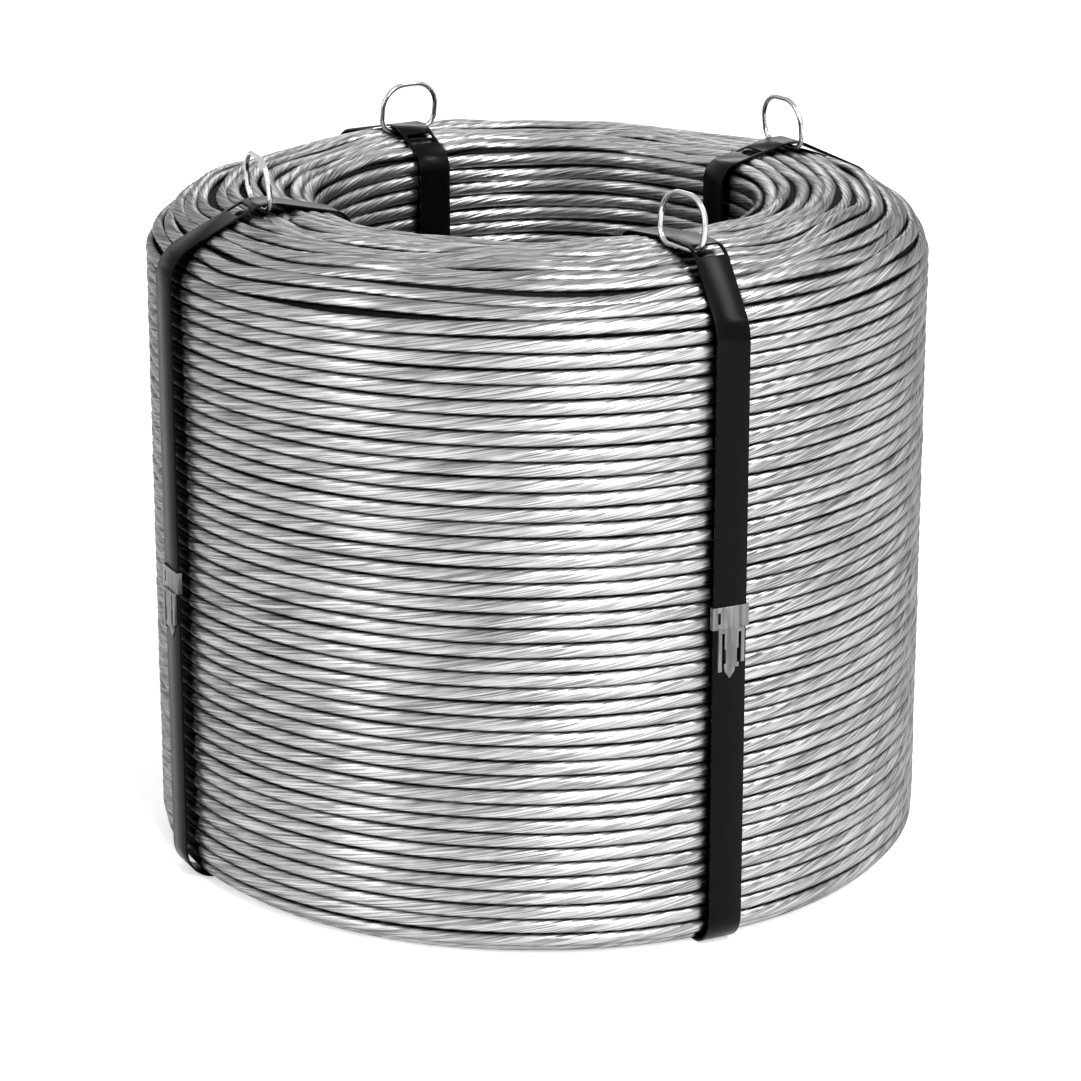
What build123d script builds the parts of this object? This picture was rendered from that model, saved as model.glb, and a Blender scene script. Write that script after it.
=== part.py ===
from build123d import *
from math import cos, radians, sin, sqrt
import os

# A strapped coil of galvanized wire strand, standing on its end.
# Millimetres. +Z is the coil's axis, and the origin is on the floor under its centre.
# Straps are placed by azimuth in degrees, counted from -Y towards +X.

# Coil of strand
coil_radius = 180.0
bore_radius = 100.0
coil_height = 310.0
layers = 12
turn_groove_depth = 2.2
top_shoulder_reach = 52.0
top_shoulder_drop = 30.0
top_lip_reach = 31.0
top_lip_drop = 11.0
bottom_corner_radius = 12.0
bottom_lip_radius = 6.0

# Straps
strap_azimuths = (0.0, 94.0, 184.0, 270.0)
strap_width = 16.0
strap_thickness = 0.9
wall_stand_off = 4.0
bore_stand_off = 3.0
strap_turn_clearance = 0.4
shoulder_bend_radius = 18.0
crest_bend_radius = 12.0
crest_bend_room = 3.0
bore_top_bend_radius = 9.0
bottom_bend_radius = 14.0
bore_bottom_bend_radius = 8.0
slot_width = 13.0
slot_length = 7.0
slot_offsets = (10.8, -20.0, -13.0, 10.8)

# Lifting rings, whose lower bars lie pinched between the straps and the coil
ring_wire = 2.4
ring_width = 31.0
ring_height = 25.5
ring_top_radius = 11.5
ring_bottom_radius = 7.0
ring_bend_steps = 4
ring_wire_sides = 8
ring_seat_clearance = 0.3
ring_seat_turns = (7, 5, 3, 5)
ring_turns = (-78.0, 3.0, 0.0, -3.0)
ring_side_shifts = (-7.3, -0.6, 0.5, -0.6)
ring_leans = (-4.0, -6.0, -10.0, 5.0)

# Strap clips, folded from steel sheet
clip_heights = (150.0, 146.0, 153.0, 140.0)
clip_sheet = 0.8
clip_sleeve_length = 10.0
clip_return_lip = 4.0
clip_side_clearance = 0.1
clip_window = (1.3, 5.0)
clip_window_offset = 5.6
fork_lift = 1.0
fork_width = 12.8
fork_leg_width = 1.7
fork_left_length = 19.0
fork_right_length = 15.5
fork_bend_length = 1.6
tongue_root_width = 6.8
tongue_width = 5.4
tongue_root_length = 9.0
tongue_length = 17.5
tongue_ear_width = 7.2
tongue_ear_length = 2.0
tip_width = 5.0
tip_length = 23.0
tip_taper = 3.5
tip_thickness = 0.5

# The coil stands on the straps' runs under it.
coil_bottom = strap_thickness
coil_top = coil_bottom + coil_height
turn_pitch = (coil_radius - bore_radius) / layers
turn_crests = [bore_radius + (turn + 0.5) * turn_pitch for turn in range(layers)]


def arc_drop(distance, reach, drop):
    """Fall of an elliptical shoulder at a distance past where it starts to bend down."""
    part = min(max(distance / reach, 0.0), 1.0)
    return drop * (1 - sqrt(1 - part**2))


def top_level(radius):
    """Height of the turns' crests on the domed top."""
    outer = arc_drop(radius - (coil_radius - top_shoulder_reach), top_shoulder_reach, top_shoulder_drop)
    inner = arc_drop(bore_radius + top_lip_reach - radius, top_lip_reach, top_lip_drop)
    return coil_top - outer - inner


def bottom_level(radius):
    """Height of the turns' crests on the flat underside with its rounded edges."""
    corner, lip = bottom_corner_radius, bottom_lip_radius
    outer = arc_drop(radius - (coil_radius - corner), corner, corner)
    inner = arc_drop(bore_radius + lip - radius, lip, lip)
    return coil_bottom + outer + inner


def turns_on_end(level, into_coil):
    """Crests of one end's turns and the grooves between them, from the bore outwards."""
    points = [(bore_radius, level(bore_radius))]
    for crest in turn_crests:
        groove = crest + turn_pitch / 2
        points.append((crest, level(crest)))
        if crest < turn_crests[-1]:
            points.append((groove, level(groove) + into_coil * turn_groove_depth))
    points.append((coil_radius, level(coil_radius)))
    return points


# Coil of strand: one turned solid, with its layers of turns showing on both ends
with BuildPart() as wire_coil:
    with BuildSketch(Plane.XZ):
        with BuildLine():
            Polyline(
                *turns_on_end(bottom_level, 1),
                *reversed(turns_on_end(top_level, -1)),
                close=True,
            )
        make_face()
    revolve(axis=Axis.Z)

wire_coil.part.label = "wire_coil"
os.makedirs("parts", exist_ok=True)
export_step(wire_coil.part, "parts/wire_coil.step")

# Straps run clear of the wall and the bore, and each ring's bar lifts its strap.
strap_inner = bore_radius - bore_stand_off
strap_outer = coil_radius + wall_stand_off
ring_half_width = (ring_width - ring_wire) / 2
bar_half_length = ring_half_width - ring_bottom_radius


def outward(azimuth):
    """Direction from the coil's axis to a strap."""
    return Vector(sin(radians(azimuth)), -cos(radians(azimuth)), 0)


def sideways(azimuth):
    """Direction across a strap."""
    return Vector(cos(radians(azimuth)), sin(radians(azimuth)), 0)


def ring_seat(seat_turn, turn):
    """Radius and level of a ring's bar on a turn's crest, and its reach along the strap."""
    radius = turn_crests[seat_turn]
    reach = ring_wire / 2 + bar_half_length * abs(sin(radians(turn)))
    highest = max(top_level(radius - reach), top_level(radius + reach))
    return radius, highest + ring_seat_clearance + ring_wire / 2, reach


def drawn_tight(radius, level, end_radius):
    """Level at an end radius of a strap drawn from one point over the crests of the turns."""
    way = 1 if end_radius > radius else -1
    crests = [crest for crest in turn_crests if way * (crest - radius) > 0]
    climbs = [(top_level(crest) + strap_turn_clearance - level) / abs(crest - radius) for crest in crests]
    return level + max(climbs) * abs(end_radius - radius)


def strap_corners(seat_turn, turn):
    """Corners of a strap's inner face, which rises over its ring's bar."""
    radius, level, reach = ring_seat(seat_turn, turn)
    rise = level + ring_wire / 2 + ring_seat_clearance
    inner = radius - reach - crest_bend_room
    outer = radius + reach + crest_bend_room
    return [
        (strap_inner, coil_bottom),
        (strap_outer, coil_bottom),
        (strap_outer, drawn_tight(outer, rise, strap_outer)),
        (outer, rise),
        (inner, rise),
        (strap_inner, drawn_tight(inner, rise, strap_inner)),
    ]


strap_bends = [
    bore_bottom_bend_radius,
    bottom_bend_radius,
    shoulder_bend_radius,
    crest_bend_radius,
    crest_bend_radius,
    bore_top_bend_radius,
]


def make_strap(azimuth, seat_turn, turn, slot_offset, label):
    """One closed loop of flat strap, with its slot beside the ring."""
    corners = strap_corners(seat_turn, turn)
    slot_radius = turn_crests[seat_turn] + slot_offset
    section = Plane(origin=(0, 0, 0), x_dir=outward(azimuth), z_dir=-sideways(azimuth))
    slot_plane = Plane(
        origin=outward(azimuth) * slot_radius + Vector(0, 0, coil_top),
        x_dir=outward(azimuth),
        z_dir=(0, 0, 1),
    )
    with BuildPart() as strap:
        with BuildSketch(section):
            with BuildLine():
                FilletPolyline(*corners, radius=strap_bends, close=True)
            make_face()
            offset(amount=strap_thickness)
            with BuildLine():
                FilletPolyline(*corners, radius=strap_bends, close=True)
            make_face(mode=Mode.SUBTRACT)
        extrude(amount=strap_width / 2, both=True)
        with BuildSketch(slot_plane):
            Rectangle(slot_length, slot_width)
        extrude(amount=top_shoulder_drop, both=True, mode=Mode.SUBTRACT)
    strap.part.label = label
    export_step(strap.part, f"parts/{label}.step")


def ring_bend(centre, radius, start):
    """Points round one quarter bend of a ring's wire, taken in short steps."""
    angles = [radians(start + 90 * step / ring_bend_steps) for step in range(ring_bend_steps + 1)]
    return [(centre[0] + radius * cos(angle), centre[1] + radius * sin(angle)) for angle in angles]


def ring_path():
    """Centre line of a ring's wire, from the middle of its bar round to the same point."""
    low, high = ring_bottom_radius, ring_top_radius
    low_x, high_x = ring_half_width - low, ring_half_width - high
    high_z = ring_height - ring_wire - high
    points = [(0, 0)]
    points += ring_bend((low_x, low), low, -90)
    points += ring_bend((high_x, high_z), high, 0)
    points += ring_bend((-high_x, high_z), high, 90)
    points += ring_bend((-low_x, low), low, 180)
    return points


def make_ring(azimuth, seat_turn, turn, side_shift, lean, label):
    """One ring bent from round wire, standing up from its bar under the strap."""
    radius, level, _ = ring_seat(seat_turn, turn)
    along = outward(azimuth) * sin(radians(-turn)) + sideways(azimuth) * cos(radians(turn))
    across = along.cross(Vector(0, 0, 1))
    face = across * cos(radians(lean)) - Vector(0, 0, 1) * sin(radians(lean))
    seat = outward(azimuth) * radius + sideways(azimuth) * side_shift + Vector(0, 0, level)
    with BuildPart() as ring:
        with BuildLine(Plane(origin=seat, x_dir=along, z_dir=face)):
            Polyline(*ring_path(), close=True)
        with BuildSketch(Plane(origin=seat, x_dir=face, z_dir=along)):
            RegularPolygon(ring_wire / 2, side_count=ring_wire_sides, rotation=180 / ring_wire_sides)
        sweep(transition=Transition.RIGHT)
    ring.part.label = label
    export_step(ring.part, f"parts/{label}.step")


def make_clip(azimuth, height, label):
    """One clip folded from sheet: a sleeve round the strap and a forked spring end below it."""
    face = outward(azimuth) * (strap_outer + strap_thickness) + Vector(0, 0, height)
    front = Plane(origin=face, x_dir=sideways(azimuth), z_dir=outward(azimuth))
    across = Plane(origin=face, x_dir=sideways(azimuth), z_dir=(0, 0, 1))
    inside_width = strap_width + 2 * clip_side_clearance
    outside_width = inside_width + 2 * clip_sheet
    leg_centre = (fork_width - fork_leg_width) / 2
    with BuildPart() as clip:
        # Sleeve folded round the strap, open at the back between its two lips
        with BuildSketch(across):
            with Locations((0, strap_thickness / 2)):
                Rectangle(outside_width, strap_thickness + 2 * clip_sheet)
                Rectangle(inside_width, strap_thickness, mode=Mode.SUBTRACT)
            with Locations((0, strap_thickness + clip_sheet / 2)):
                Rectangle(inside_width - 2 * clip_return_lip, clip_sheet, mode=Mode.SUBTRACT)
        extrude(amount=clip_sleeve_length)
        # Window pressed through the sleeve's front
        with BuildSketch(front):
            with Locations((-clip_window_offset, clip_sleeve_length / 2)):
                Rectangle(*clip_window)
        extrude(amount=clip_sheet, mode=Mode.SUBTRACT)
        # Bend that lifts the fork off the strap
        with BuildSketch(front):
            with Locations((0, -fork_bend_length / 2)):
                Rectangle(fork_width, fork_bend_length)
        extrude(amount=fork_lift + clip_sheet)
        # Two legs, folded down to the strap
        with BuildSketch(front):
            with Locations((-leg_centre, 0)):
                Rectangle(fork_leg_width, fork_left_length, align=(Align.CENTER, Align.MAX))
            with Locations((leg_centre, 0)):
                Rectangle(fork_leg_width, fork_right_length, align=(Align.CENTER, Align.MAX))
        extrude(amount=fork_lift + clip_sheet)
        # Tongue between the legs, clear of the strap, with an ear on each side of its end
        with BuildSketch(front.offset(fork_lift)):
            Rectangle(tongue_root_width, tongue_root_length, align=(Align.CENTER, Align.MAX))
            Rectangle(tongue_width, tongue_length, align=(Align.CENTER, Align.MAX))
            with Locations((0, -tongue_length)):
                Rectangle(tongue_ear_width, tongue_ear_length, align=(Align.CENTER, Align.MIN))
        extrude(amount=clip_sheet)
        # Pointed end of the inner sheet, flat on the strap
        with BuildSketch(front):
            with BuildLine():
                Polyline(
                    (-tip_width / 2, 0),
                    (tip_width / 2, 0),
                    (tip_width / 2, tip_taper - tip_length),
                    (0, -tip_length),
                    (-tip_width / 2, tip_taper - tip_length),
                    close=True,
                )
            make_face()
        extrude(amount=tip_thickness)
    clip.part.label = label
    export_step(clip.part, f"parts/{label}.step")


# The four straps, each with its ring on top and its clip on the outer wall
for number, azimuth in enumerate(strap_azimuths, start=1):
    seat_turn = ring_seat_turns[number - 1]
    turn = ring_turns[number - 1]
    side_shift = ring_side_shifts[number - 1]
    lean = ring_leans[number - 1]
    make_strap(azimuth, seat_turn, turn, slot_offsets[number - 1], f"strap_{number}")
    make_ring(azimuth, seat_turn, turn, side_shift, lean, f"lifting_ring_{number}")
    make_clip(azimuth, clip_heights[number - 1], f"strap_clip_{number}")
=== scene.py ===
from math import acos, cos, degrees, hypot, pi, radians, sin

import bmesh
import bpy
import numpy as np
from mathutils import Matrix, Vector, noise


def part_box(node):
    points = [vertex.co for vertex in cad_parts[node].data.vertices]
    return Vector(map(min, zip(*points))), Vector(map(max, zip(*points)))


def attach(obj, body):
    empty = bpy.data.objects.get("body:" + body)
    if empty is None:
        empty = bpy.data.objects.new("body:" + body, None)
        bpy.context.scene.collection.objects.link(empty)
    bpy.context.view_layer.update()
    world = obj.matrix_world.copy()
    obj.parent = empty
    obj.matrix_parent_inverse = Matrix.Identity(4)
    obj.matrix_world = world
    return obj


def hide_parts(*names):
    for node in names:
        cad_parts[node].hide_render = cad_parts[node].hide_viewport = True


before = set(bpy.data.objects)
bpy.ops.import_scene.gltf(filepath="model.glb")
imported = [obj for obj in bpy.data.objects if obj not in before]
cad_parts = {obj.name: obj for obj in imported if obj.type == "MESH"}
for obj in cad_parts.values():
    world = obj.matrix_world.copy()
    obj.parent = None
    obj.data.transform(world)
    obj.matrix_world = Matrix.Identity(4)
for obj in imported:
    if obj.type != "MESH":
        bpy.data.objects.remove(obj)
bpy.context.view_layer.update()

# Wound strand
# One length of galvanized steel strand, twelve outer wires laid left-handed round a core. It is
# wound turn on turn and layer on layer into a coil with an open bore. The outer turns stand one
# by one here, all the way round the coil's section.
millimetre = 0.001
coil_low, coil_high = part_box("wire_coil")
coil_radius = coil_high.x
coil_floor = coil_low.z
coil_top = coil_high.z
bore_radius = min(hypot(v.co.x, v.co.y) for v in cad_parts["wire_coil"].data.vertices)
strand_radius = 3.36 * millimetre
strand_squareness = 2.7
top_shoulder_reach = 52 * millimetre
top_shoulder_drop = 30 * millimetre
top_lip_reach = 31 * millimetre
top_lip_drop = 11 * millimetre
bottom_corner_radius = 12 * millimetre
bottom_lip_radius = 6 * millimetre
bend_steps = 24
outer_wires = 12
lay_length = 105 * millimetre
wire_step = lay_length / (2 * outer_wires)
wire_groove_depth = 0.2 * millimetre
wire_groove_pace = (0.4, 22.0)
section_points = 14
section_sweep = radians(195)
tidy_wander = 0.5 * millimetre
tidy_lift = 0.35 * millimetre
loose_wander = 4.6 * millimetre
loose_lift = 3.0 * millimetre
looseness_in_bore = 0.3
looseness_at_straps = 0.25
wander_bends = 2.4
wander_turns = 1.5
lift_bends = 1.2
lift_offset = Vector((7, 3, 11))
lift_rest = 0.35
strap_half_width = 8 * millimetre
strap_grip_reach = 26 * millimetre
# Reach of the painted shadow that the straps cast on the turns under and beside them.
shade_half_width = 7.1 * millimetre
shade_edge = 2.4 * millimetre


def section_arc(centre, radii, start, stop):
    """Points of a bend in a flat outline, from one angle in degrees to another."""
    angles = [radians(start + (stop - start) * step / bend_steps) for step in range(bend_steps + 1)]
    return [(centre[0] + radii[0] * cos(a), centre[1] + radii[1] * sin(a)) for a in angles]


def section_loop(inset):
    """Closed line round the coil's section, that far inside its outline: over the outer shoulder and
    the top's inner lip, down the bore and out along the bottom."""
    shoulder_centre = (coil_radius - top_shoulder_reach, coil_top - top_shoulder_drop)
    lip_centre = (bore_radius + top_lip_reach, coil_top - top_lip_drop)
    low_lip_centre = (bore_radius + bottom_lip_radius, coil_floor + bottom_lip_radius)
    corner_centre = (coil_radius - bottom_corner_radius, coil_floor + bottom_corner_radius)
    shoulder = (top_shoulder_reach - inset, top_shoulder_drop - inset)
    lip = (top_lip_reach - inset, top_lip_drop - inset)
    low_lip = bottom_lip_radius - inset
    corner = bottom_corner_radius - inset
    meeting = degrees(acos((lip_centre[0] - shoulder_centre[0]) / shoulder[0]))
    points = section_arc(shoulder_centre, shoulder, 0, meeting)
    points += section_arc(lip_centre, lip, 90, 180)
    points += section_arc(low_lip_centre, (low_lip, low_lip), 180, 270)
    points += section_arc(corner_centre, (corner, corner), 270, 360)
    points.append(points[0])
    return np.array(points)


loop = section_loop(strand_radius)
loop_steps = np.hypot(*np.diff(loop, axis=0).T)
loop_travel = np.concatenate([[0], np.cumsum(loop_steps)])
loop_tangents = np.diff(loop, axis=0) / np.maximum(loop_steps, 1e-9)[:, None]
turn_count = round(loop_travel[-1] / (2 * strand_radius + 0.01 * millimetre))
turn_pitch = loop_travel[-1] / turn_count
strap_sides = []
for number in range(1, 5):
    strap_low, strap_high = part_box(f"strap_{number}")
    strap_sides.append((strap_low + strap_high).xy.normalized())


def section_point(travel):
    """Radius and height of the strand's centre after that much travel round the section, with its
    outward side."""
    span = min(np.searchsorted(loop_travel, travel, side="right") - 1, len(loop_steps) - 1)
    along = loop_tangents[span]
    radius, height = loop[span] + along * (travel - loop_travel[span])
    return radius, height, along[1], -along[0]


def clear_of_straps(spin, radius, half_width, reach):
    """Zero within a half width of a strap's middle, rising to one over the reach beside it."""
    nearest = min(hypot(spin[0] - side.x, spin[1] - side.y) for side in strap_sides) * radius
    share = min(max((nearest - half_width) / reach, 0.0), 1.0)
    return share * share * (3 - 2 * share)


def winding():
    """Centre line of all the turns, with its outward directions, its travel round the section and a mask
    for the painted shadow that the straps cast under and beside them. The turns lie close on the wall, and
    wander and rise where they are loose, on the top and a little in the bore. It ends on the point where it
    starts."""
    travel = 0.0
    angle = 0.0
    points, outwards, travels, strap_shadow = [], [], [], []
    while travel < loop_travel[-1]:
        radius, height, out_r, out_z = section_point(travel)
        spin = (cos(angle), sin(angle))
        free = clear_of_straps(spin, radius, strap_half_width, strap_grip_reach)
        loose = min(max(out_z, 0.0) + looseness_in_bore * max(-out_r, 0.0), 1.0)
        loose *= looseness_at_straps + (1 - looseness_at_straps) * free
        wander = tidy_wander + (loose_wander - tidy_wander) * loose
        lift = tidy_lift + (loose_lift - tidy_lift) * loose * free
        place = Vector((
            spin[0] * wander_bends,
            spin[1] * wander_bends,
            travel / (wander_turns * turn_pitch),
        ))
        side = wander * noise.noise(place)
        rise = lift * (noise.noise(place * lift_bends + lift_offset) - lift_rest)
        radius += out_r * rise - out_z * side
        height += out_z * rise + out_r * side
        points.append((radius * spin[0], radius * spin[1], height))
        outwards.append((out_r * spin[0], out_r * spin[1], out_z))
        travels.append(travel)
        # Mask of the painted shadow under and beside the straps.
        strap_shadow.append(1 - clear_of_straps(spin, radius, shade_half_width, shade_edge))
        angle += wire_step / radius
        travel += turn_pitch * wire_step / (2 * pi * radius)
    points.append(points[0])
    outwards.append(outwards[0])
    travels.append(loop_travel[-1])
    strap_shadow.append(strap_shadow[0])
    return points, outwards, travels, strap_shadow


def connect(tree, node_type, inputs=(), **settings):
    """A new node with its settings, and each input given a value or a link."""
    node = tree.nodes.new(node_type)
    for name, value in settings.items():
        setattr(node, name, value)
    for name, value in dict(inputs).items():
        if isinstance(value, bpy.types.NodeSocket):
            tree.links.new(value, node.inputs[name])
        else:
            node.inputs[name].default_value = value
    return node


def maths(tree, operation, *values):
    """Result of a Math node on values or links."""
    return connect(tree, "ShaderNodeMath", enumerate(values), operation=operation).outputs[0]


def vector_maths(tree, operation, *values):
    """Result of a Vector Math node on vector links."""
    node = connect(tree, "ShaderNodeVectorMath", enumerate(values), operation=operation)
    return node.outputs["Vector"]


def scaled(tree, vector, factor):
    """A vector link times a number link."""
    node = connect(tree, "ShaderNodeVectorMath", {0: vector, "Scale": factor}, operation="SCALE")
    return node.outputs["Vector"]


def clouds(tree, place, scale, detail):
    """Noise over a link's coordinates, from 0 to 1."""
    node = connect(tree, "ShaderNodeTexNoise", {"Vector": place, "Scale": scale, "Detail": detail})
    return node.outputs[0]


def streaks(tree, wire, length, pace, detail):
    """Noise that runs along the strand's wires, from 0 to 1, with its pace across and along them."""
    across, along = pace
    sides = {"X": maths(tree, "MULTIPLY", wire, across), "Y": maths(tree, "MULTIPLY", length, along)}
    return clouds(tree, connect(tree, "ShaderNodeCombineXYZ", sides).outputs[0], 1.0, detail)


def strand_tree():
    """Lays a twisted strand along a centre line: wires and grooves alternate along and around it, so
    that they run on the slant. Its face is a little flattened and its hidden back is flat, and the
    grooves' depth varies along the wires."""
    tree = bpy.data.node_groups.new("lay_strand", "GeometryNodeTree")
    tree.interface.new_socket("Geometry", in_out="INPUT", socket_type="NodeSocketGeometry")
    for name in ("Strand Radius", "Squareness", "Groove Depth", "Section Sweep"):
        tree.interface.new_socket(name, in_out="INPUT", socket_type="NodeSocketFloat")
    tree.interface.new_socket("Section Points", in_out="INPUT", socket_type="NodeSocketInt")
    tree.interface.new_socket("Material", in_out="INPUT", socket_type="NodeSocketMaterial")
    tree.interface.new_socket("Geometry", in_out="OUTPUT", socket_type="NodeSocketGeometry")
    given = tree.nodes.new("NodeGroupInput").outputs

    outward = connect(
        tree, "GeometryNodeInputNamedAttribute", {"Name": "outward"}, data_type="FLOAT_VECTOR"
    ).outputs["Attribute"]
    line = connect(tree, "GeometryNodeMeshToCurve", {"Mesh": given["Geometry"]})
    kept = tree.nodes.new("GeometryNodeCaptureAttribute")
    for kind, name in (("INT", "Step"), ("VECTOR", "Centre"), ("VECTOR", "Tangent"), ("FLOAT", "Length")):
        kept.capture_items.new(kind, name)
    tree.links.new(line.outputs["Curve"], kept.inputs["Geometry"])
    index = tree.nodes.new("GeometryNodeInputIndex").outputs[0]
    position = tree.nodes.new("GeometryNodeInputPosition").outputs[0]
    tangent = tree.nodes.new("GeometryNodeInputTangent").outputs[0]
    length = tree.nodes.new("GeometryNodeSplineParameter").outputs["Length"]
    for name, link in (("Step", index), ("Centre", position), ("Tangent", tangent), ("Length", length)):
        tree.links.new(link, kept.inputs[name])

    ring = connect(
        tree, "GeometryNodeCurvePrimitiveCircle", {"Resolution": given["Section Points"], "Radius": 1.0}
    )
    around = tree.nodes.new("GeometryNodeCaptureAttribute")
    around.capture_items.new("INT", "Place")
    tree.links.new(ring.outputs["Curve"], around.inputs["Geometry"])
    tree.links.new(index, around.inputs["Place"])
    tube = connect(
        tree,
        "GeometryNodeCurveToMesh",
        {"Curve": kept.outputs["Geometry"], "Profile Curve": around.outputs["Geometry"], "Fill Caps": True},
    )

    step, place = kept.outputs["Step"], around.outputs["Place"]
    last = maths(tree, "SUBTRACT", given["Section Points"], 1.0)
    share = maths(tree, "SUBTRACT", maths(tree, "DIVIDE", place, last), 0.5)
    turn = maths(tree, "MULTIPLY", share, given["Section Sweep"])
    groove = maths(tree, "FLOORED_MODULO", maths(tree, "ADD", step, place), 2.0)
    wire = maths(tree, "DIVIDE", maths(tree, "SUBTRACT", place, step), 2.0)
    uneven = streaks(tree, wire, kept.outputs["Length"], wire_groove_pace, 1.0)
    depth = maths(tree, "MULTIPLY", given["Groove Depth"], maths(tree, "MULTIPLY", uneven, 2.0))
    round_reach = maths(tree, "SUBTRACT", given["Strand Radius"], maths(tree, "MULTIPLY", groove, depth))
    sine = maths(tree, "SINE", turn)
    cosine = maths(tree, "COSINE", turn)
    corner = maths(
        tree,
        "ADD",
        maths(tree, "POWER", maths(tree, "ABSOLUTE", sine), given["Squareness"]),
        maths(tree, "POWER", maths(tree, "ABSOLUTE", cosine), given["Squareness"]),
    )
    flatten = maths(tree, "POWER", corner, maths(tree, "DIVIDE", -1.0, given["Squareness"]))
    reach = maths(tree, "MULTIPLY", round_reach, flatten)
    sideways = vector_maths(
        tree, "NORMALIZE", vector_maths(tree, "CROSS_PRODUCT", outward, kept.outputs["Tangent"])
    )
    across = scaled(tree, sideways, maths(tree, "MULTIPLY", sine, reach))
    out = scaled(tree, outward, maths(tree, "MULTIPLY", cosine, reach))
    placed = vector_maths(tree, "ADD", kept.outputs["Centre"], vector_maths(tree, "ADD", across, out))
    shaped = connect(
        tree, "GeometryNodeSetPosition", {"Geometry": tube.outputs["Mesh"], "Position": placed}
    )
    result = shaped.outputs["Geometry"]
    stored = (("groove", groove), ("turn", turn), ("wire", wire), ("length", kept.outputs["Length"]))
    for name, link in stored:
        store = connect(
            tree,
            "GeometryNodeStoreNamedAttribute",
            {"Geometry": result, "Name": name, "Value": link},
            data_type="FLOAT",
            domain="POINT",
        )
        result = store.outputs["Geometry"]
    outside = connect(tree, "GeometryNodeFlipFaces", {"Mesh": result})
    cut = connect(
        tree, "GeometryNodeTriangulate", {"Mesh": outside.outputs["Mesh"]}, quad_method="FIXED"
    )
    smooth = connect(
        tree, "GeometryNodeSetShadeSmooth", {"Geometry": cut.outputs["Mesh"], "Shade Smooth": True}
    )
    real = connect(tree, "GeometryNodeRealizeInstances", {"Geometry": smooth.outputs["Geometry"]})
    finish = connect(
        tree,
        "GeometryNodeSetMaterial",
        {"Geometry": real.outputs["Geometry"], "Material": given["Material"]},
    )
    tree.links.new(finish.outputs["Geometry"], tree.nodes.new("NodeGroupOutput").inputs["Geometry"])
    return tree


def new_material(name):
    """Empty material with its Principled shader, ready for its pattern."""
    material = bpy.data.materials.new(name)
    material.use_nodes = True
    return material, material.node_tree, material.node_tree.nodes["Principled BSDF"]


def blended(tree, factor, low, high):
    """Colour between two greys or colours, by a factor link."""
    node = connect(
        tree, "ShaderNodeMix", {"Factor": factor}, data_type="RGBA", blend_type="MIX", clamp_factor=True
    )
    for socket, value in (("A", low), ("B", high)):
        slot = next(s for s in node.inputs if s.name == socket and s.type == "RGBA")
        if isinstance(value, bpy.types.NodeSocket):
            tree.links.new(value, slot)
        else:
            slot.default_value = (*value, 1)
    return next(s for s in node.outputs if s.type == "RGBA")


def spread(tree, value, low, high):
    """A link eased from 0 at low to 1 at high."""
    node = connect(
        tree,
        "ShaderNodeMapRange",
        {"Value": value, "From Min": low, "From Max": high},
        interpolation_type="SMOOTHSTEP",
    )
    return node.outputs["Result"]


# Greys of the wires' streaked tone: partly their own random tone, partly painted reflections of the wires'
# facets.
dull_zinc = (0.15, 0.151, 0.153)
bright_zinc = (0.54, 0.54, 0.54)
# Black of the painted shade in the gaps between the turns, in the wires' grooves and under the straps.
painted_shade_black = (0.02, 0.02, 0.0205)
zinc_edge_tint = (0.4, 0.4, 0.4, 1)
brushing_pace = (3.0, 38.0)
tone_pace = (0.9, 11.0)
gap_range = (0.46, 0.88)
gap_raggedness = 0.4
groove_range = (0.66, 1.0)
groove_tone_range = (0.15, 0.7)
groove_darkness = 0.48
groove_relief = 0.6
shade_range = (0.15, 0.75)
shade_raggedness = 3.0
light_range = (0.36, 0.62)
brushed_share = 0.65
strand_roughness = (0.22, 0.16)
brushing_relief = (0.5, 0.3 * millimetre)


def finish_surface(tree, shader, colour, rough, relief):
    """Gives a shader its colour link, its roughness and its fine relief. Roughness is a pattern with
    its least value and what the pattern adds, and relief a pattern with its strength and depth."""
    tree.links.new(colour, shader.inputs["Base Color"])
    cloud, least, extra = rough
    roughness = maths(tree, "ADD", least, maths(tree, "MULTIPLY", cloud, extra))
    tree.links.new(roughness, shader.inputs["Roughness"])
    height, strength, depth = relief
    bump = connect(tree, "ShaderNodeBump", {"Height": height, "Strength": strength, "Distance": depth})
    tree.links.new(bump.outputs["Normal"], shader.inputs["Normal"])


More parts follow.
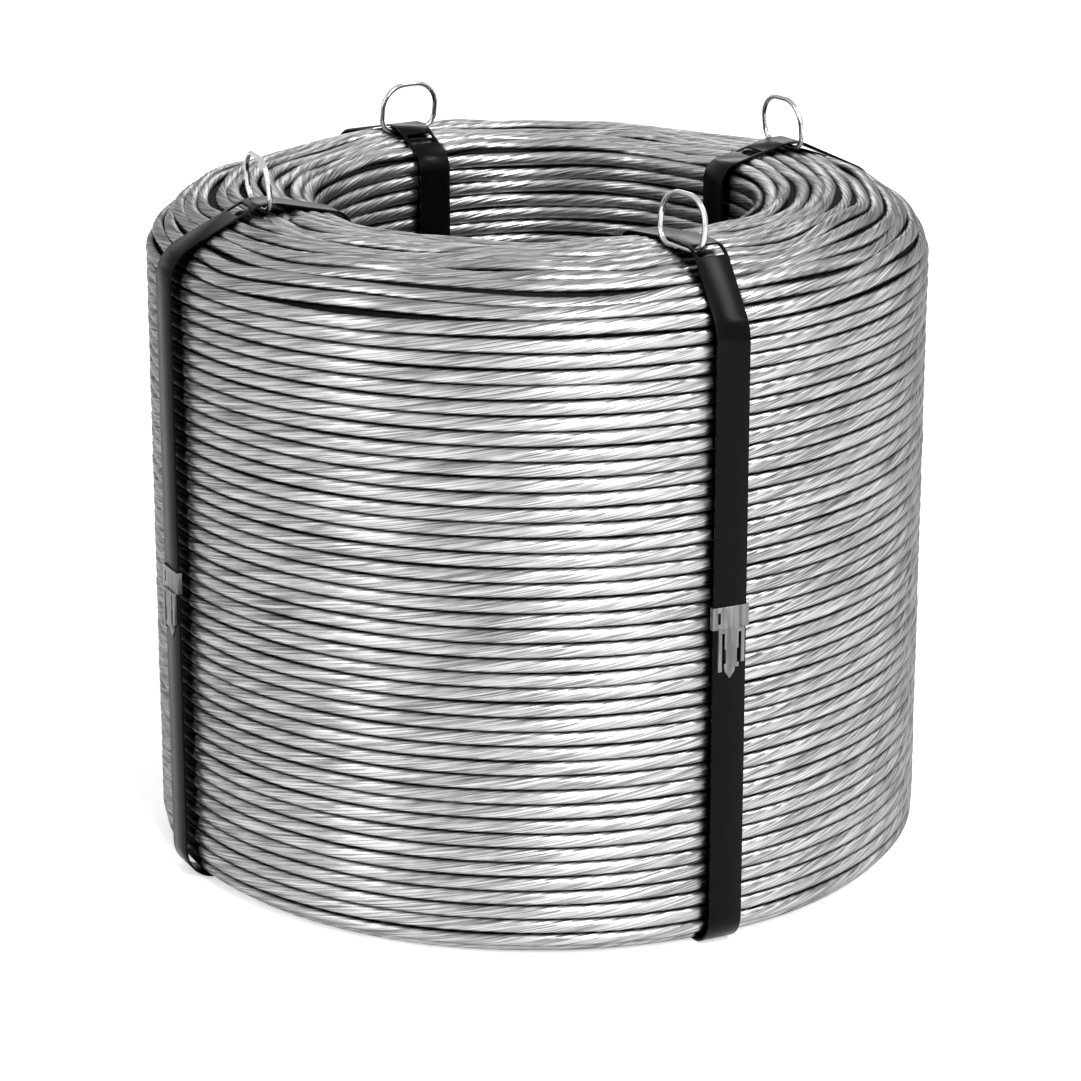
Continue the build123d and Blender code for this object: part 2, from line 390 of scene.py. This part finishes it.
def galvanized_strand():
    """Drawn, galvanized wire: bright, finely brushed along each wire, with painted shade in the gaps
    between the turns, a little painted shade in the grooves between its wires and a painted shadow under
    and beside the straps. Its colour is streaked along the wires, partly its own random tone and partly
    painted reflections of the wires' facets."""
    material, tree, shader = new_material("galvanized_strand")
    groove, turn, wire, length, strap_shadow = (
        connect(tree, "ShaderNodeAttribute", attribute_name=name).outputs["Fac"]
        for name in ("groove", "turn", "wire", "length", "strap_shadow")
    )
    brushed = streaks(tree, wire, length, brushing_pace, 3.0)
    tone = streaks(tree, wire, length, tone_pace, 1.0)
    # Painted shade in the gaps between the turns: each strand darkens towards its sides, with a ragged
    # edge.
    off_centre = maths(tree, "ABSOLUTE", maths(tree, "DIVIDE", turn, section_sweep / 2))
    ragged = maths(tree, "MULTIPLY", maths(tree, "SUBTRACT", brushed, 0.5), gap_raggedness)
    gap = spread(tree, maths(tree, "ADD", off_centre, ragged), *gap_range)
    # Painted shade in the grooves between the wires, uneven along them.
    between = maths(
        tree, "MULTIPLY", spread(tree, groove, *groove_range), spread(tree, tone, *groove_tone_range)
    )
    # Painted shadow of the straps on the turns under and beside them, with a ragged edge.
    ragged_shadow_edge = maths(tree, "MULTIPLY", ragged, shade_raggedness)
    shade = spread(tree, maths(tree, "ADD", strap_shadow, ragged_shadow_edge), *shade_range)
    dark = maths(tree, "MAXIMUM", gap, maths(tree, "MULTIPLY", between, groove_darkness))
    dark = maths(tree, "MAXIMUM", dark, shade)
    # Streaked tone along the wires, partly random and partly painted reflections of the wires' facets.
    light = maths(
        tree,
        "ADD",
        maths(tree, "MULTIPLY", brushed, brushed_share),
        maths(tree, "MULTIPLY", tone, 1 - brushed_share),
    )
    bright = blended(tree, spread(tree, light, *light_range), dull_zinc, bright_zinc)
    metal = blended(tree, dark, bright, painted_shade_black)
    height = maths(tree, "SUBTRACT", brushed, maths(tree, "MULTIPLY", groove, groove_relief))
    finish_surface(tree, shader, metal, (brushed, *strand_roughness), (height, *brushing_relief))
    shader.inputs["Metallic"].default_value = 1.0
    shader.inputs["Specular Tint"].default_value = zinc_edge_tint
    return material


strand_metal = galvanized_strand()
lay_strand = strand_tree()


def plain_mesh(source, name):
    """The evaluated object as a plain mesh object of its own. The source and its modifiers go."""
    graph = bpy.context.evaluated_depsgraph_get()
    mesh = bpy.data.meshes.new_from_object(source.evaluated_get(graph))
    mesh.name = name
    bpy.data.objects.remove(source)
    piece = bpy.data.objects.new(name, mesh)
    bpy.context.scene.collection.objects.link(piece)
    return piece


def set_inputs(modifier, **values):
    """Gives a Geometry Nodes modifier its named inputs, by each socket's identifier."""
    for item in modifier.node_group.interface.items_tree:
        key = item.name.lower().replace(" ", "_")
        if item.in_out == "INPUT" and key in values:
            modifier[item.identifier] = values[key]


centres, outward_sides, travels, painted_strap_shadows = winding()


def lay_turns(name, start, stop):
    """The wound strand between two places on the section, as a piece of its own. It starts and ends
    on an even point, so that its wires and grooves run on into the next piece."""
    first = 2 * (np.searchsorted(travels, start) // 2)
    last = len(travels) - 1 if stop >= loop_travel[-1] else 2 * (np.searchsorted(travels, stop) // 2)
    points = centres[first : last + 1]
    line = bpy.data.meshes.new(name + "_line")
    line.from_pydata(points, [(i, i + 1) for i in range(len(points) - 1)], [])
    line.attributes.new("outward", "FLOAT_VECTOR", "POINT")
    sides = np.array(outward_sides[first : last + 1], np.float32)
    line.attributes["outward"].data.foreach_set("vector", sides.ravel())
    # The mask of the straps' painted shadow goes with the line.
    line.attributes.new("strap_shadow", "FLOAT", "POINT")
    line.attributes["strap_shadow"].data.foreach_set("value", painted_strap_shadows[first : last + 1])
    source = bpy.data.objects.new(name + "_line", line)
    bpy.context.scene.collection.objects.link(source)
    modifier = source.modifiers.new("lay_strand", "NODES")
    modifier.node_group = lay_strand
    set_inputs(
        modifier,
        strand_radius=strand_radius,
        squareness=strand_squareness,
        groove_depth=wire_groove_depth,
        section_sweep=section_sweep,
        section_points=section_points,
        material=strand_metal,
    )
    piece = plain_mesh(source, name)
    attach(piece, "root")
    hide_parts("wire_coil")


points_per_bend = bend_steps + 1
bore_start = loop_travel[2 * points_per_bend - 1]
bottom_start = loop_travel[2 * points_per_bend]
corner_start = loop_travel[3 * points_per_bend]
wall_middle = (loop_travel[-2] + loop_travel[-1]) / 2
lay_turns("top_turns", 0, bore_start)
lay_turns("bore_turns", bore_start, bottom_start)
lay_turns("bottom_turns", bottom_start, corner_start)
lay_turns("wall_turns_lower", corner_start, wall_middle)
lay_turns("wall_turns_upper", wall_middle, loop_travel[-1])

# Inner turns
# The layers of strand under the outer one, packed too close to be seen except as dark depth between its
# turns. They are one plain turned shape inside it, painted near-black as the shade between the outer turns.
inner_turns_inset = 1.2 * strand_radius
inner_turns_sides = 128
# Near-black greys of the painted shade on the inner turns.
deep_black = (0.002, 0.002, 0.002)
clouded_shade_black = (0.012, 0.012, 0.012)


def inner_turns_mesh():
    """The coil's section turned round its axis, well inside its outline."""
    section = section_loop(inner_turns_inset)[:-1]
    spins = [2 * pi * k / inner_turns_sides for k in range(inner_turns_sides)]
    verts = [(r * cos(spin), r * sin(spin), z) for spin in spins for r, z in section]
    count = len(section)
    faces = []
    for k in range(inner_turns_sides):
        here, there = k * count, (k + 1) % inner_turns_sides * count
        for i in range(count):
            after = (i + 1) % count
            faces.append((here + i, there + i, there + after, here + after))
    mesh = bpy.data.meshes.new("inner_turns")
    mesh.from_pydata(verts, [], faces)
    mesh.shade_smooth()
    return mesh


def shaded_strand():
    """Strand painted near-black as the shade between the outer turns, faintly clouded."""
    material, tree, shader = new_material("shaded_strand")
    place = connect(tree, "ShaderNodeTexCoord").outputs["Object"]
    black = blended(tree, clouds(tree, place, 300.0, 2.0), deep_black, clouded_shade_black)
    tree.links.new(black, shader.inputs["Base Color"])
    shader.inputs["Specular IOR Level"].default_value = 0.05
    shader.inputs["Roughness"].default_value = 0.9
    return material


inner_turns = bpy.data.objects.new("inner_turns", inner_turns_mesh())
bpy.context.scene.collection.objects.link(inner_turns)
inner_turns.data.materials.append(shaded_strand())
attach(inner_turns, "root")
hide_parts("wire_coil")

# Straps
# Four flat steel straps, slit from sheet and lacquered black, each drawn tight round the coil's
# section and up over its ring's bar. Their slit edges are barely rounded.
strap_edge_radius = 0.22 * millimetre
edge_steps = 2
merge_distance = 0.001 * millimetre
flat_angle = radians(0.5)
sharp_angle = radians(35)
lacquer_black = (0.0005, 0.0005, 0.0005)
rubbed_black = (0.002, 0.002, 0.002)
lacquer_gloss = 0.06
lacquer_roughness = (0.18, 0.18)
lacquer_grain = (0.12, 0.1 * millimetre)


def eased_piece(node, name, edge_radius, material):
    """A CAD piece's own shape as one joined mesh, with its sharp edges slightly rounded."""
    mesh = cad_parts[node].data.copy()
    work = bmesh.new()
    work.from_mesh(mesh)
    bmesh.ops.remove_doubles(work, verts=work.verts, dist=merge_distance)
    bmesh.ops.dissolve_limit(work, angle_limit=flat_angle, verts=work.verts, edges=work.edges)
    work.to_mesh(mesh)
    work.free()
    mesh.shade_smooth()
    mesh.materials.clear()
    mesh.materials.append(material)
    source = bpy.data.objects.new(name + "_source", mesh)
    bpy.context.scene.collection.objects.link(source)
    bevel = source.modifiers.new("ease", "BEVEL")
    bevel.width = edge_radius
    bevel.segments = edge_steps
    bevel.limit_method = "ANGLE"
    bevel.angle_limit = sharp_angle
    bevel.harden_normals = True
    piece = plain_mesh(source, name)
    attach(piece, "root")
    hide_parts(node)


def black_lacquer():
    """Black baked lacquer with a soft sheen, faintly clouded and rubbed."""
    material, tree, shader = new_material("black_lacquer")
    place = connect(tree, "ShaderNodeTexCoord").outputs["Object"]
    cloud = clouds(tree, place, 70.0, 4.0)
    grain = clouds(tree, place, 1400.0, 2.0)
    black = blended(tree, cloud, lacquer_black, rubbed_black)
    finish_surface(tree, shader, black, (cloud, *lacquer_roughness), (grain, *lacquer_grain))
    shader.inputs["Specular IOR Level"].default_value = lacquer_gloss
    return material


lacquer = black_lacquer()
for number in range(1, 5):
    eased_piece(f"strap_{number}", f"black_strap_{number}", strap_edge_radius, lacquer)

# Lifting rings
# Four rings bent from round zinc-plated wire, to lift the coil by. Each stands up from its
# straight lower bar, which lies pinched between the top turns and its strap.
ring_wire = 2.4 * millimetre
ring_width = 31 * millimetre
ring_height = 25.5 * millimetre
ring_top_radius = 11.5 * millimetre
ring_bottom_radius = 7 * millimetre
ring_turns = (-78, 3, 0, -3)
ring_leans = (-4, -6, -10, 5)
wire_smoothness = 6
cad_wire_sides = 8
dull_wire = (0.40, 0.40, 0.405)
bright_wire = (0.56, 0.56, 0.565)
streak_range = (0.35, 0.65)
plated_wire_roughness = (0.1, 0.12)
plated_wire_relief = (0.05, 0.1 * millimetre)


def ring_outline():
    """Centre line of a ring's wire in its own plane, with the middle of its bar at the origin."""
    low = (ring_bottom_radius, ring_bottom_radius)
    high = (ring_top_radius, ring_top_radius)
    low_x = (ring_width - ring_wire) / 2 - ring_bottom_radius
    high_x = (ring_width - ring_wire) / 2 - ring_top_radius
    high_z = ring_height - ring_wire - ring_top_radius
    points = section_arc((low_x, ring_bottom_radius), low, -90, 0)
    points += section_arc((high_x, high_z), high, 0, 90)
    points += section_arc((-high_x, high_z), high, 90, 180)
    points += section_arc((-low_x, ring_bottom_radius), low, 180, 270)
    return points


def zinc_wire():
    """Bright zinc plating on round wire, a little streaked."""
    material, tree, shader = new_material("zinc_wire")
    place = connect(tree, "ShaderNodeTexCoord").outputs["Object"]
    streak = clouds(tree, place, 60.0, 2.0)
    tint = blended(tree, spread(tree, streak, *streak_range), dull_wire, bright_wire)
    rough = (streak, *plated_wire_roughness)
    finish_surface(tree, shader, tint, rough, (streak, *plated_wire_relief))
    shader.inputs["Metallic"].default_value = 1.0
    return material


def bend_ring(number, material):
    """One ring, on the bar of its CAD node, turned and leaning as that node is. The bar's underside
    is one of the CAD wire's flat sides, so the wire's middle lies a little lower than its radius."""
    node = f"lifting_ring_{number}"
    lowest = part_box(node)[0].z
    flat = [v.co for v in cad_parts[node].data.vertices if v.co.z < lowest + merge_distance]
    bar = Vector((
        (min(p.x for p in flat) + max(p.x for p in flat)) / 2,
        (min(p.y for p in flat) + max(p.y for p in flat)) / 2,
        lowest + ring_wire / 2 * cos(pi / cad_wire_sides),
    ))
    turn, lean = radians(ring_turns[number - 1]), radians(ring_leans[number - 1])
    outward = strap_sides[number - 1].to_3d()
    sideways = Vector((-outward.y, outward.x, 0))
    along = sideways * cos(turn) - outward * sin(turn)
    across = Vector((along.y, -along.x, 0))
    upward = Vector((0, 0, cos(lean))) + across * sin(lean)
    wire = bpy.data.curves.new(node + "_line", "CURVE")
    wire.dimensions = "3D"
    wire.bevel_depth = ring_wire / 2
    wire.bevel_resolution = wire_smoothness
    outline = ring_outline()
    spline = wire.splines.new("POLY")
    spline.points.add(len(outline) - 1)
    for point, (x, z) in zip(spline.points, outline):
        point.co = (*(bar + along * x + upward * z), 1)
    spline.use_cyclic_u = True
    wire.materials.append(material)
    source = bpy.data.objects.new(node + "_line", wire)
    bpy.context.scene.collection.objects.link(source)
    piece = plain_mesh(source, f"zinc_ring_{number}")
    piece.data.shade_smooth()
    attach(piece, "root")
    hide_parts(node)


zinc = zinc_wire()
for number in range(1, 5):
    bend_ring(number, zinc)

# Strap clips
# Four clips folded from zinc-plated sheet steel, each pushed over the two ends of its strap on
# the outer wall, where its forked spring end bites.
clip_edge_radius = 0.15 * millimetre
dull_sheet = (0.10, 0.10, 0.102)
bright_sheet = (0.20, 0.20, 0.203)
rolling_stretch = (500.0, 500.0, 40.0)
rolling_range = (0.3, 0.7)
sheet_roughness = (0.32, 0.18)
sheet_relief = (0.12, 0.1 * millimetre)


def zinc_sheet():
    """Zinc-plated sheet, with faint rolling lines from top to bottom."""
    material, tree, shader = new_material("zinc_sheet")
    place = connect(tree, "ShaderNodeTexCoord").outputs["Object"]
    drawn_out = connect(tree, "ShaderNodeMapping", {"Vector": place, "Scale": rolling_stretch})
    rolled = clouds(tree, drawn_out.outputs[0], 1.0, 3.0)
    tint = blended(tree, spread(tree, rolled, *rolling_range), dull_sheet, bright_sheet)
    finish_surface(tree, shader, tint, (rolled, *sheet_roughness), (rolled, *sheet_relief))
    shader.inputs["Metallic"].default_value = 1.0
    return material


sheet_zinc = zinc_sheet()
for number in range(1, 5):
    eased_piece(f"strap_clip_{number}", f"zinc_clip_{number}", clip_edge_radius, sheet_zinc)

# Studio
# A white paper floor in plain soft light. The paper and the world show white to the eye and in
# the metal, and the paper keeps the coil's soft shadow.
floor_reach = 12
paper_colour = (0.93, 0.93, 0.93, 1)
paper_glow = 0.4
white = (1, 1, 1, 1)
world_light = 0.6


def seen_rays(tree):
    """One where the eye or a reflection looks, and zero for the light that falls on things."""
    rays = connect(tree, "ShaderNodeLightPath")
    seen = maths(tree, "MAXIMUM", rays.outputs["Is Camera Ray"], rays.outputs["Is Glossy Ray"])
    return maths(tree, "MAXIMUM", seen, rays.outputs["Is Transmission Ray"])


def white_paper():
    """Matt white paper that looks fully white where no shadow falls."""
    material, tree, shader = new_material("white_paper")
    shader.inputs["Base Color"].default_value = paper_colour
    shader.inputs["Roughness"].default_value = 0.9
    shader.inputs["Specular IOR Level"].default_value = 0.0
    shader.inputs["Emission Color"].default_value = white
    glow = maths(tree, "MULTIPLY", seen_rays(tree), paper_glow)
    tree.links.new(glow, shader.inputs["Emission Strength"])
    return material


corners = [(-1, -1), (1, -1), (1, 1), (-1, 1)]
floor_mesh = bpy.data.meshes.new("floor")
floor_mesh.from_pydata([(x * floor_reach, y * floor_reach, 0) for x, y in corners], [], [(0, 1, 2, 3)])
floor_mesh.materials.append(white_paper())
floor = bpy.data.objects.new("floor", floor_mesh)
bpy.context.scene.collection.objects.link(floor)

world = bpy.data.worlds.new("studio")
bpy.context.scene.world = world
world.use_nodes = True
sky_tree = world.node_tree
sky = sky_tree.nodes["Background"]
extra = maths(sky_tree, "MULTIPLY", seen_rays(sky_tree), 1 - world_light)
sky_tree.links.new(maths(sky_tree, "ADD", extra, world_light), sky.inputs["Strength"])
sky.inputs["Color"].default_value = white

camera_azimuth = radians(-26.7)
camera_elevation = radians(17.86)
camera_distance = 1.8
camera_lens = 126.7
camera_sensor = 36
target_height = 136.3 * millimetre
target_shift = 1.5 * millimetre
back = Vector((
    sin(camera_azimuth) * cos(camera_elevation),
    -cos(camera_azimuth) * cos(camera_elevation),
    sin(camera_elevation),
))
right = Vector((cos(camera_azimuth), sin(camera_azimuth), 0))
target = Vector((0, 0, target_height)) + right * target_shift
camera = bpy.data.objects.new("camera", bpy.data.cameras.new("camera"))
bpy.context.scene.collection.objects.link(camera)
camera.location = target + back * camera_distance
camera.rotation_euler = back.to_track_quat("Z", "Y").to_euler()
camera.data.lens = camera_lens
camera.data.sensor_width = camera_sensor
bpy.context.scene.camera = camera


def softbox(name, turn, height, distance, size, power):
    """A large soft light, aimed at the coil's middle. Its turn is in degrees from the camera's side,
    its height, distance and size in metres and its power in watts."""
    lamp = bpy.data.lights.new(name, "AREA")
    lamp.shape = "RECTANGLE"
    lamp.size, lamp.size_y = size
    lamp.energy = power
    angle = camera_azimuth + radians(turn)
    place = Vector((sin(angle) * distance, -cos(angle) * distance, height))
    lamp_object = bpy.data.objects.new(name, lamp)
    bpy.context.scene.collection.objects.link(lamp_object)
    lamp_object.location = place
    aim = place - Vector((0, 0, coil_top / 2))
    lamp_object.rotation_euler = aim.to_track_quat("Z", "Y").to_euler()


softbox("key", 17, 1.2, 2.2, (0.35, 1.8), 54)
softbox("left", -53, 1.0, 2.2, (0.3, 1.8), 13)
softbox("right", 116, 1.0, 2.2, (0.3, 1.8), 4)
softbox("above", 71, 1.95, 1.5, (0.7, 0.7), 30)
softbox("behind", 180, 1.25, 2.2, (1.0, 0.6), 8)

bpy.context.scene.view_settings.view_transform = "Standard"
